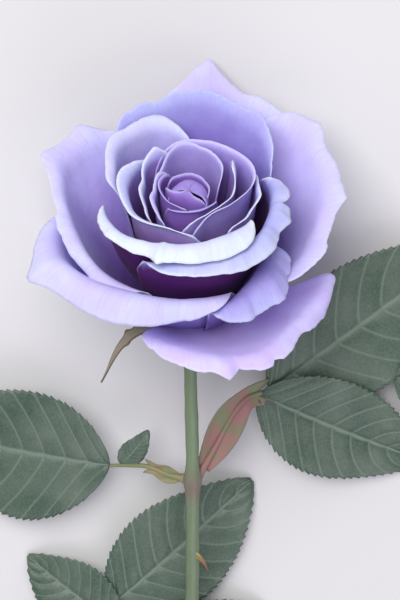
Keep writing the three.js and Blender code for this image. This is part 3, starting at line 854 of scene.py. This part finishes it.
# horn of a prickle: hard and glossy, reddish at its foot and straw brown at its point
prickle_horn = new_material("prickle_horn")
horn_uv = add_node(prickle_horn, "ShaderNodeUVMap", {"uv_map": "run"})
horn_run = add_node(prickle_horn, "ShaderNodeSeparateXYZ", links={0: horn_uv.outputs[0]})
horn_ramp = add_node(prickle_horn, "ShaderNodeValToRGB", links={0: horn_run.outputs["Y"]})
horn_ramp.color_ramp.elements[0].color = linear("#7d7a4a")
horn_ramp.color_ramp.elements[1].color = linear("#8a4a38")
horn_shader = add_node(
    prickle_horn,
    "ShaderNodeBsdfPrincipled",
    {"Roughness": 0.3},
    {"Base Color": horn_ramp.outputs[0]},
)
surface(prickle_horn, horn_shader.outputs[0])

# each prickle as its depth down the stem and its direction round it
PRICKLES = ((88, 60), (158, -70), (182, 150), (206, 20))
PRICKLE_HOOK = ((0, -1.6, 2), (0, -3.4, 1.4), (0, -5, 0.2), (0, -6.4, -1.6), (0, -7.2, -3.4))
PRICKLE_POINT = 0.08
PRICKLE_FOOT = 1.9
PRICKLE_FLATNESS = 0.5
for number, (depth, around) in enumerate(PRICKLES, 1):
    out = Matrix.Rotation(math.radians(around), 3, "Z")
    curve = [out @ Vector(p) + Vector((0, 0.3, -depth)) for p in PRICKLE_HOOK]
    horn, _ = grow_tube(
        along_path(curve, 20), lambda t: PRICKLE_POINT + PRICKLE_FOOT * (1 - t) ** 1.4, 16
    )
    # flattened sideways and drawn out along the stem
    squeeze = out @ Matrix.Diagonal((PRICKLE_FLATNESS, 1, 1)) @ out.inverted()
    bmesh.ops.transform(horn, matrix=squeeze.to_4x4(), verts=horn.verts)
    prickle = finished(horn, f"rose_prickle_{number}", (prickle_horn,), stem_place)
    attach(prickle, "root")

# ---- Hip
# The round green swelling on top of the stem, one with it, where the seeds would form.
# The petals and sepals grow from its rim. It is spun from its outline.
HIP_OUTLINE = (
    (0, -12.8), (2.3, -12.8), (2.7, -11.8), (3.6, -10.3), (4.7, -8.4), (5.1, -6.6),
    (5, -4.8), (4.6, -3.2), (4.7, -2.2), (6.2, -1.4), (7, -0.5), (6.2, 0.3), (5, 0.9),
    (3, 1.8), (1.2, 2.4), (0, 2.6),
)
hip_mesh = bmesh.new()
hip_mesh.loops.layers.uv.new("run")
outline = [hip_mesh.verts.new((r, 0, z)) for r, z in HIP_OUTLINE]
outline_edges = [hip_mesh.edges.new(pair) for pair in zip(outline, outline[1:])]
bmesh.ops.spin(
    hip_mesh,
    geom=outline + outline_edges,
    cent=(0, 0, 0),
    axis=(0, 0, 1),
    angle=2 * math.pi,
    steps=40,
    use_merge=True,
)
bmesh.ops.remove_doubles(hip_mesh, verts=hip_mesh.verts, dist=SEWN)
bmesh.ops.recalc_face_normals(hip_mesh, faces=hip_mesh.faces)
hip = finished(hip_mesh, "rose_hip", (stem_bark,), bloom_place)
rounding = hip.modifiers.new("rounding", "SUBSURF")
rounding.levels = rounding.render_levels = 1
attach(hip, "root")
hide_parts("hip")

# ---- Sepals
# Five narrow green blades that wrapped the bud. They have dried a little, turned brown
# at the edges and bent back, and each runs out into a dark thread.
# each sepal as its direction, the slope it bends to and its length
SEPALS = ((-60, -60, 38), (18, -14, 26), (88, -35, 34), (158, -62, 35), (-128, -40, 37))
SEPAL_WIDTH = 7.5
SEPAL_SKIN = 0.5
SEPAL_SLOPE = 12
SEPAL_FOOT = (5.2, -2.6)

# drying sepal: dull, downy green, browner to the tip and dark along its edges
sepal_skin = new_material("drying_sepal")
sepal_uv = add_node(sepal_skin, "ShaderNodeUVMap", {"uv_map": "blade"})
sepal_run = add_node(sepal_skin, "ShaderNodeSeparateXYZ", links={0: sepal_uv.outputs[0]})
sepal_ramp = add_node(sepal_skin, "ShaderNodeValToRGB", links={0: sepal_run.outputs["Y"]})
sepal_stops = sepal_ramp.color_ramp.elements
sepal_stops[0].position, sepal_stops[0].color = 0.0, linear("#7f9160")
sepal_stops[1].position, sepal_stops[1].color = 0.92, linear("#3a2620")
sepal_middle = sepal_stops.new(0.5)
sepal_middle.color = linear("#84755c")
sepal_side = add_node(
    sepal_skin,
    "ShaderNodeMath",
    {"operation": "PINGPONG", 1: 0.5},
    {0: sepal_run.outputs["X"]},
)
sepal_edge = add_node(
    sepal_skin,
    "ShaderNodeMapRange",
    {"From Min": 0.02, "From Max": 0.14, "To Min": 0.75, "To Max": 0.0},
    {"Value": sepal_side.outputs[0]},
)
# ribs along the blade, about 0.4 mm apart
sepal_stretch = add_node(
    sepal_skin, "ShaderNodeMapping", {"Scale": (18, 3, 1)}, {"Vector": sepal_uv.outputs[0]}
)
sepal_ribs = add_node(
    sepal_skin,
    "ShaderNodeTexNoise",
    {"Scale": 1.0, "Detail": 4.0, "Roughness": 0.65},
    {"Vector": sepal_stretch.outputs[0]},
)
sepal_streaked = add_node(
    sepal_skin,
    "ShaderNodeMixRGB",
    {"Color2": linear("#a9a58c")},
    {"Fac": sepal_ribs.outputs[0], "Color1": sepal_ramp.outputs[0]},
)
sepal_colour = add_node(
    sepal_skin,
    "ShaderNodeMixRGB",
    {"Color2": linear("#57403a")},
    {"Fac": sepal_edge.outputs[0], "Color1": sepal_streaked.outputs[0]},
)
sepal_bump = add_node(
    sepal_skin,
    "ShaderNodeBump",
    {"Strength": 0.5, "Distance": 0.0003},
    {"Height": sepal_ribs.outputs[0]},
)
sepal_shader = add_node(
    sepal_skin,
    "ShaderNodeBsdfPrincipled",
    {"Roughness": 0.7, "Specular IOR Level": 0.25, "Sheen Weight": 0.2},
    {"Base Color": sepal_colour.outputs[0], "Normal": sepal_bump.outputs[0]},
)
surface(sepal_skin, sepal_shader.outputs[0])


def blade_grid(across_cells, along_cells):
    """A flat grid from -1 to 1 each way, to be drawn out to a blade."""
    bm = bmesh.new()
    bm.loops.layers.uv.new("blade")
    bmesh.ops.create_grid(
        bm, x_segments=across_cells, y_segments=along_cells, size=1, calc_uvs=True
    )
    return bm


def grow_sepal(number, direction, bend_to, length):
    """A long blade that bends along its length, with two small lobes on each side."""
    steps = 60
    azimuth = math.radians(direction)
    line = [SEPAL_FOOT]
    for j in range(steps):
        bent = (bend_to - SEPAL_SLOPE) * smooth_step(j / steps * 1.15)
        slope = math.radians(SEPAL_SLOPE + bent)
        r, z = line[-1]
        line.append((r + math.cos(slope) * length / steps, z + math.sin(slope) * length / steps))
    bm = blade_grid(12, steps)
    for vert in bm.verts:
        u, v = vert.co.x, (vert.co.y + 1) / 2
        width = SEPAL_WIDTH * (0.05 + 0.95 * (1 - v) ** 1.2)
        width *= 0.75 + 0.25 * smooth_step(5 * v)
        lobe = 1.3 * math.exp(-(((v - 0.36) / 0.03) ** 2))
        lobe += 1.0 * math.exp(-(((v - 0.52 - 0.03 * u) / 0.03) ** 2))
        side = u * width / 2 + math.copysign(lobe, u) * max(abs(u) - 0.6, 0) / 0.4
        side += 0.6 * math.sin(7 * v + number) * v
        r, z = line[round(v * steps)]
        vert.co = (
            r * math.sin(azimuth) + side * math.cos(azimuth),
            -r * math.cos(azimuth) + side * math.sin(azimuth),
            z + (0.12 + 0.6 * v) * abs(side) + 0.2 * math.sin(11 * v + 2 * number),
        )
    sepal = finished(bm, f"rose_sepal_{number}", (sepal_skin,), bloom_place)
    thickness = sepal.modifiers.new("thickness", "SOLIDIFY")
    thickness.thickness = SEPAL_SKIN * MM
    thickness.offset = 0
    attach(sepal, "root")
    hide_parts(f"sepal_{number}")


for number, (direction, bend_to, length) in enumerate(SEPALS, 1):
    grow_sepal(number, direction, bend_to, length)

# ---- Leaf stalks
# Each leaf hangs on a thin stalk with a pair of stipules at its foot, narrow wings that
# hold the stem. The stalks are flushed pink where they get the sun.
TILT = math.radians(90) + STEM_TURN


def over_table(x, z, height):
    """A place given as its distance across, along the stem, and over the table."""
    return Vector((x, FOOT_RADIUS + math.tan(TILT) * (z + STEM_LENGTH) - height, z))


def stalk_finish(name, flush, green):
    """Stalk and stipules: thin smooth skin, green at the edges and flushed between."""
    material = new_material(name)
    where = add_node(material, "ShaderNodeTexCoord")
    # patches of flush about 8 mm across
    patches = add_node(
        material,
        "ShaderNodeTexNoise",
        {"Scale": 120.0, "Detail": 3.0},
        {"Vector": where.outputs["Object"]},
    )
    ramp = add_node(material, "ShaderNodeValToRGB", links={0: patches.outputs[0]})
    ramp.color_ramp.elements[0].position = 0.38
    ramp.color_ramp.elements[0].color = linear(green)
    ramp.color_ramp.elements[1].position = 0.6
    ramp.color_ramp.elements[1].color = linear(flush)
    # fine grain, about 0.5 mm
    grain = add_node(
        material,
        "ShaderNodeTexNoise",
        {"Scale": 2000.0, "Detail": 2.0},
        {"Vector": where.outputs["Object"]},
    )
    bump = add_node(
        material,
        "ShaderNodeBump",
        {"Strength": 0.3, "Distance": 0.0002},
        {"Height": grain.outputs[0]},
    )
    shader = add_node(
        material,
        "ShaderNodeBsdfPrincipled",
        {"Roughness": 0.5, "Specular IOR Level": 0.4},
        {"Base Color": ramp.outputs[0], "Normal": bump.outputs[0]},
    )
    return surface(material, shader.outputs[0])


red_stalk = stalk_finish("stalk_flushed_red", "#8d6663", "#6f7558")
green_stalk = stalk_finish("stalk_flushed_tan", "#857a5c", "#6c7a54")
STALK_RADIUS = 0.9
STALK_STEPS = 60
STIPULE_STEPS = 24
STIPULE_SKIN = 0.35
# each stalk as its finish, the width of its stipules and the places it passes
STALKS = {
    "leaf_right": (
        red_stalk,
        12,
        ((2, -57, 21), (8, -47, 20), (17, -32, 17), (26, -28, 14), (50, -25, 11), (72, -25, 9)),
    ),
    "leaf_left": (
        green_stalk,
        6.5,
        ((-2, -57, 21), (-8, -56, 20), (-15, -54, 18), (-22, -55, 15), (-29, -56.5, 12)),
    ),
    "leaf_lower": (
        green_stalk,
        6,
        ((-1.5, -141, 9), (-9, -139, 8), (-20, -131, 7), (-27, -121, 6), (-29, -114, 5.5)),
    ),
}


def grow_stalk(leaf, finish, wing, points):
    """A tapered stalk that widens into the stem, and its two stipules in one blade."""
    route = along_path([over_table(*point) for point in points], STALK_STEPS)
    bm, _ = grow_tube(route, lambda t: STALK_RADIUS * (1.25 - 0.6 * t + (1 - t) ** 14), 12)
    stalk = finished(bm, f"rose_{leaf}_stalk", (finish,), stem_place)
    # the stipules clasp the stalk for four tenths of its length, then end in points
    bm = blade_grid(20, STIPULE_STEPS)
    for vert in bm.verts:
        u, v = vert.co.x, (vert.co.y + 1) / 2
        j = 3 + round(v * STIPULE_STEPS)
        ahead = route[j + 1] - route[j - 1]
        out = Vector((ahead.z, 0, -ahead.x)).normalized()
        half = wing * (0.4 + 0.6 * math.sin(math.pi * min(v * 1.05, 1))) * 0.5
        point = 0.22 * wing * smooth_step((v - 0.8) / 0.2) * smooth_step((abs(u) - 0.5) * 2.5)
        half += point
        lift = -0.2 * half * u * u + 0.25 * math.sin(9 * v + 4 * u)
        vert.co = route[j] + out * (u * half) + Vector((0, lift, 0))
        vert.co += ahead.normalized() * point * 1.6
    stipule = finished(bm, f"rose_{leaf}_stipule", (finish,), stem_place)
    skin = stipule.modifiers.new("thickness", "SOLIDIFY")
    skin.thickness = STIPULE_SKIN * MM
    skin.offset = 0
    for piece in (stalk, stipule):
        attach(piece, "root")
    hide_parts(f"{leaf}_stalk")
    return route


stalk_routes = {leaf: grow_stalk(leaf, *facts) for leaf, facts in STALKS.items()}

# ---- Leaflets
# Firm grey-green blades with a saw edge, a sunken midrib and side veins that arch to
# the edge. They sit along the stalk and at its end, and droop until they touch.
TOOTH = 2.6
TOOTH_DEPTH = 1.0
VEINS = 9
VEIN_RISE = 0.2
VEIN_BEND = 1.3
PILLOW = 0.55
MIDRIB_DEPTH = 0.7
MIDRIB_WIDTH = 1.1
ARCH = 2.2
LEAF_SKIN = 0.35
FULL_SIZE = 30
# each leaflet as its name, its place along the stalk, the place of its tip and its width
LEAFLETS = {
    "leaf_right": (
        ("end", 1, (131, -31, 0.5), 42),
        ("side_1", 0.48, (99, 22, 0.6), 46),
        ("side_2", 0.43, (84, -60, 0.5), 38),
    ),
    "leaf_left": (
        ("end", 1, (-99, -48, 0.5), 50),
        ("side_1", 0.86, (-15, -42, 15), 9),
    ),
    "leaf_lower": (
        ("end", 1, (22, -67, 1.6), 40),
        ("side_1", 0.5, (-66, -133, 0.5), 28),
        ("side_2", 0.8, (-60, -97, 0.5), 27),
        ("side_3", 0.5, (28, -117, 1), 26),
    ),
}


def leaf_finish(name, face, patch, vein, roughness):
    """Leaf blade: waxy skin over a net of veins, lighter along the main veins.

    Patches are about 15 mm across and the cells of the net about 1.4 mm.
    """
    material = new_material(name)
    uv = add_node(material, "ShaderNodeUVMap", {"uv_map": "blade"})
    run = add_node(material, "ShaderNodeSeparateXYZ", links={0: uv.outputs[0]})
    where = add_node(material, "ShaderNodeTexCoord")
    # how far a place is from the midrib, and from the nearest side vein
    centred = add_node(
        material,
        "ShaderNodeMath",
        {"operation": "MULTIPLY_ADD", 1: 2.0, 2: -1.0},
        {0: run.outputs["X"]},
    )
    side = add_node(
        material, "ShaderNodeMath", {"operation": "ABSOLUTE"}, {0: centred.outputs[0]}
    )
    bent = add_node(
        material,
        "ShaderNodeMath",
        {"operation": "POWER", 1: VEIN_BEND},
        {0: side.outputs[0]},
    )
    risen = add_node(
        material,
        "ShaderNodeMath",
        {"operation": "MULTIPLY_ADD", 1: -VEIN_RISE},
        {0: bent.outputs[0], 2: run.outputs["Y"]},
    )
    counted = add_node(
        material,
        "ShaderNodeMath",
        {"operation": "MULTIPLY", 1: VEINS},
        {0: risen.outputs[0]},
    )
    nearest = add_node(
        material,
        "ShaderNodeMath",
        {"operation": "PINGPONG", 1: 0.5},
        {0: counted.outputs[0]},
    )
    side_veins = add_node(
        material,
        "ShaderNodeMapRange",
        {**SOFT_FADE, "From Max": 0.1, "To Min": 0.55},
        {"Value": nearest.outputs[0]},
    )
    midrib = add_node(
        material,
        "ShaderNodeMapRange",
        {**SOFT_FADE, "From Max": 0.07, "To Min": 0.9},
        {"Value": side.outputs[0]},
    )
    veins = add_node(
        material,
        "ShaderNodeMath",
        {"operation": "MAXIMUM"},
        {0: side_veins.outputs[0], 1: midrib.outputs[0]},
    )
    patches = add_node(
        material,
        "ShaderNodeTexNoise",
        {"Scale": 65.0, "Detail": 3.0},
        {"Vector": where.outputs["Object"]},
    )
    ramp = add_node(material, "ShaderNodeValToRGB", links={0: patches.outputs[0]})
    ramp.color_ramp.elements[0].position = 0.35
    ramp.color_ramp.elements[0].color = linear(face)
    ramp.color_ramp.elements[1].position = 0.68
    ramp.color_ramp.elements[1].color = linear(patch)
    net = add_node(
        material,
        "ShaderNodeTexVoronoi",
        {"feature": "DISTANCE_TO_EDGE", "Scale": 700.0},
        {"Vector": where.outputs["Object"]},
    )
    net_lines = add_node(
        material,
        "ShaderNodeMapRange",
        {**SOFT_FADE, "From Max": 0.12, "To Min": 0.22},
        {"Value": net.outputs["Distance"]},
    )
    netted = add_node(
        material,
        "ShaderNodeMixRGB",
        {"Color2": linear(vein)},
        {"Fac": net_lines.outputs[0], "Color1": ramp.outputs[0]},
    )
    colour = add_node(
        material,
        "ShaderNodeMixRGB",
        {"Color2": linear(vein)},
        {"Fac": veins.outputs[0], "Color1": netted.outputs[0]},
    )
    bump = add_node(
        material,
        "ShaderNodeBump",
        {"Strength": 0.35, "Distance": 0.0003},
        {"Height": net.outputs["Distance"]},
    )
    shader = add_node(
        material,
        "ShaderNodeBsdfPrincipled",
        {"Roughness": roughness, "Specular IOR Level": 0.4},
        {"Base Color": colour.outputs[0], "Normal": bump.outputs[0]},
    )
    return surface(material, shader.outputs[0])


leaf_face = leaf_finish("leaf_upper_skin", "#3c5043", "#566459", "#6f7f73", 0.42)
leaf_back = leaf_finish("leaf_underside", "#7d9180", "#8d9e8e", "#a9b5a4", 0.65)


def grow_leaflet(name, foot, tip, width):
    """A grid drawn out to a pointed oval, toothed, pressed in at its veins and drooped."""
    along = tip - foot
    sideways = Vector((along.z, 0, -along.x)).normalized()
    small = width < FULL_SIZE / 2
    scale = min(width / FULL_SIZE, 1)
    teeth = max(round(along.length / TOOTH), 6)
    steps = teeth * 7
    bm = blade_grid(16 if small else 32, steps)
    for vert in bm.verts:
        u, v = vert.co.x, (vert.co.y + 1) / 2
        half = (width / 2) * (0.04 + 0.96 * math.sin(math.pi * v**0.82) ** 0.8)
        tooth = ((v * teeth) % 1.0) ** 1.2 * TOOTH_DEPTH * scale
        tooth *= smooth_step((abs(u) - 0.8) / 0.2) * smooth_step(6 * v) * smooth_step(12 - 12 * v)
        side = u * half + math.copysign(tooth, u)
        phase = VEINS * (v - VEIN_RISE * abs(u) ** VEIN_BEND)
        to_vein = abs(phase - round(phase))
        pillow = PILLOW * math.sin(math.pi * to_vein) ** 0.8 * smooth_step(4 - 4 * abs(u))
        midrib = MIDRIB_DEPTH * math.exp(-((side / MIDRIB_WIDTH) ** 2))
        midrib *= smooth_step(6 - 6 * v)
        rise = ARCH * 4 * v * (1 - v) + 0.1 * abs(side)
        rise += (pillow - midrib) * scale
        rise += 0.5 * math.sin(11 * v + 3 * u + width) * u * u
        place = foot + along * v + sideways * side
        # never lower than its own thickness over the table
        table_there = over_table(place.x, place.z, LEAF_SKIN + 0.05)
        place.y = min(place.y - rise, table_there.y)
        vert.co = place
    leaflet = finished(bm, f"rose_{name}", (leaf_face, leaf_back), stem_place)
    skin = leaflet.modifiers.new("skin", "SOLIDIFY")
    skin.thickness = LEAF_SKIN * MM
    skin.offset = 0
    skin.material_offset = 1
    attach(leaflet, "root")
    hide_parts(name)


for leaf, leaflets in LEAFLETS.items():
    route = stalk_routes[leaf]
    for name, where, tip, width in leaflets:
        foot, tip = route[round(where * STALK_STEPS)], over_table(*tip)
        foot = foot + (tip - foot).normalized() * (0.2 if where == 1 else 0.8)
        grow_leaflet(f"{leaf}_{name}", foot, tip, width)
